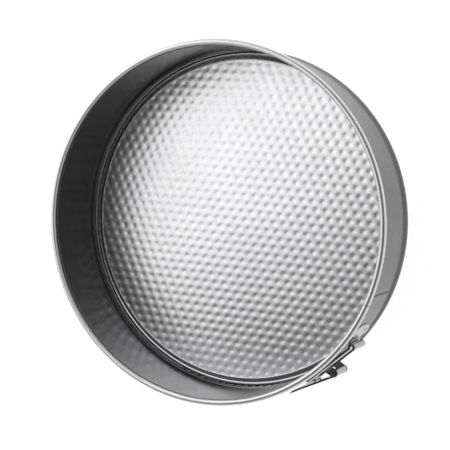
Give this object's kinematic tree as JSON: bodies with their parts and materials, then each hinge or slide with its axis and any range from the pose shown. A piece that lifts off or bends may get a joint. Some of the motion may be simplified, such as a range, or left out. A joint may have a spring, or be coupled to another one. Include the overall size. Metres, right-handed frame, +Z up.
{
  "type": "round springform cake tin",
  "caption": "Round metal cake tin with a rolled rim, a loose dimpled base held in a groove, and an over-centre wire clasp that opens the hoop.",
  "frame": {"origin": "on the axis of the hoop, in the plane that the bottom lip stands on", "axes": "+Z up along the hoop's axis, out of the mouth; the clasp lies at 45 degrees between +X and -Y, and the hoop's seam is at 24.4 degrees from +X towards -Y"},
  "size_m": [0.2694, 0.2694, 0.07],
  "materials": {
    "tinplate_hoop": "satin",
    "tinplate_base": "satin",
    "catch_sheet": "satin",
    "wire": "polished",
    "lever_sheet": "satin",
    "bracket_sheet": "satin",
    "fixings": "satin"
  },
  "bodies": {
    "hoop": {"hoop_band": "tinplate_hoop", "catch_plate": "catch_sheet", "catch_rivet_upper": "fixings", "catch_rivet_lower": "fixings", "hinge_pin": "fixings", "lever_bracket": "bracket_sheet", "bracket_rivet_upper": "fixings", "bracket_rivet_lower": "fixings"},
    "lever": {"lever": "lever_sheet"},
    "bail": {"bail": "wire"},
    "base": {"base_plate": "tinplate_base"}
  },
  "joints": [
    {"name": "lever_hinge", "type": "hinge", "parent": "hoop", "child": "lever", "pos_m": [0.08968, -0.10803, 0.035], "axis": [0, 0, 1], "range_deg": [0, 150]},
    {"name": "bail_pivot", "type": "hinge", "parent": "hoop", "child": "bail", "pos_m": [0.10326, -0.0882, 0.035], "axis": [0, 0, 1], "range_deg": [0, 70.8]},
    {"name": "base_release", "type": "slide", "parent": "hoop", "child": "base", "axis": [0, 0, 1], "range_m": [0, 0.08]}
  ],
  "couplings": [
    {"joint": "bail_pivot", "follows": "lever_hinge", "ratio": 0.472}
  ]
}
